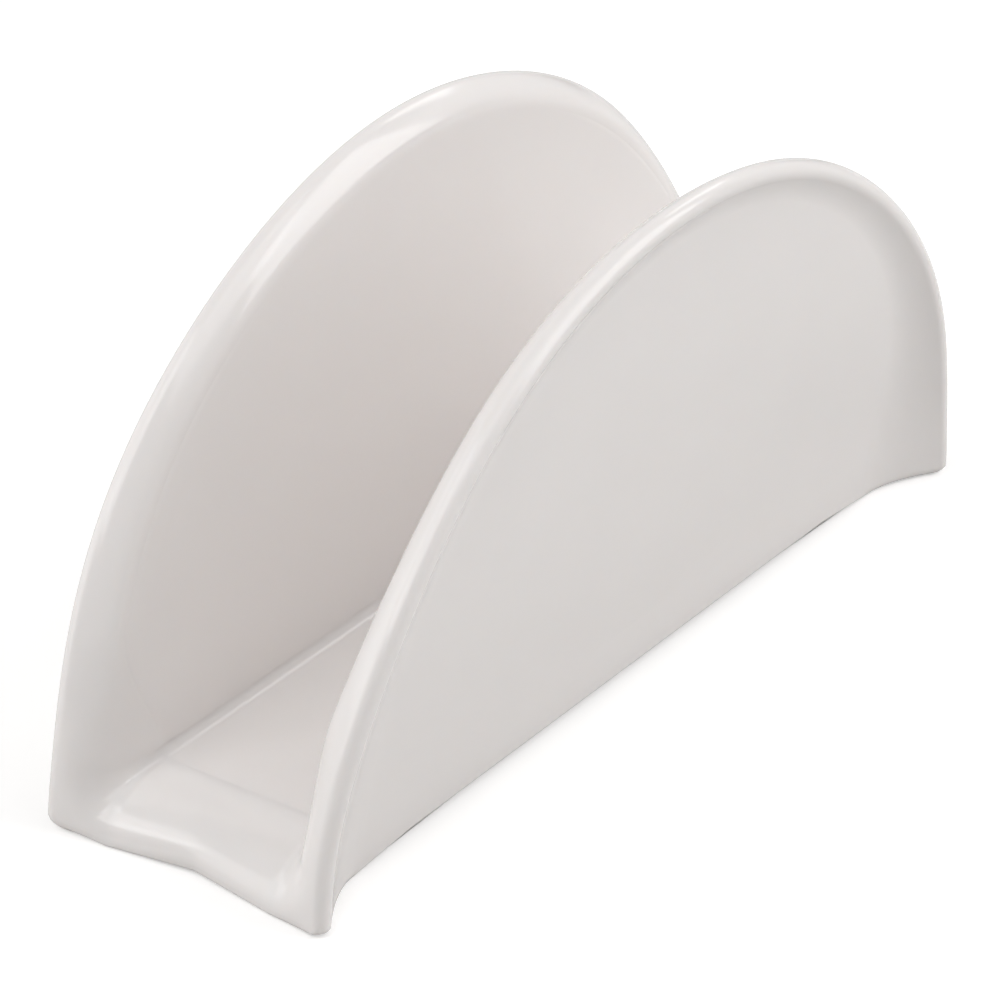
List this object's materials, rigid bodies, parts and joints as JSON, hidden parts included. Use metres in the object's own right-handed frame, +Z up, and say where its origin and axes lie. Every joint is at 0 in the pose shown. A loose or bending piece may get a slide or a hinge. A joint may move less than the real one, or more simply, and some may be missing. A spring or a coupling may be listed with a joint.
{
  "type": "napkin holder",
  "caption": "Open napkin holder in glazed porcelain: rounded leaning walls with flared rims, joined by a narrow floor whose ends turn down to the table.",
  "frame": {"origin": "on the table, at the centre of the holder's footprint", "axes": "+X along the channel from one open end to the other, +Y across the channel towards the back wall, +Z up"},
  "size_m": [0.14, 0.043, 0.0664],
  "materials": {
    "glaze": "glossy warm white glaze over white porcelain, bare ground soles under the feet"
  },
  "bodies": {
    "root": {"floor": "glaze", "left_lip": "glaze", "right_lip": "glaze", "front_wall": "glaze", "back_wall": "glaze"}
  },
  "joints": []
}
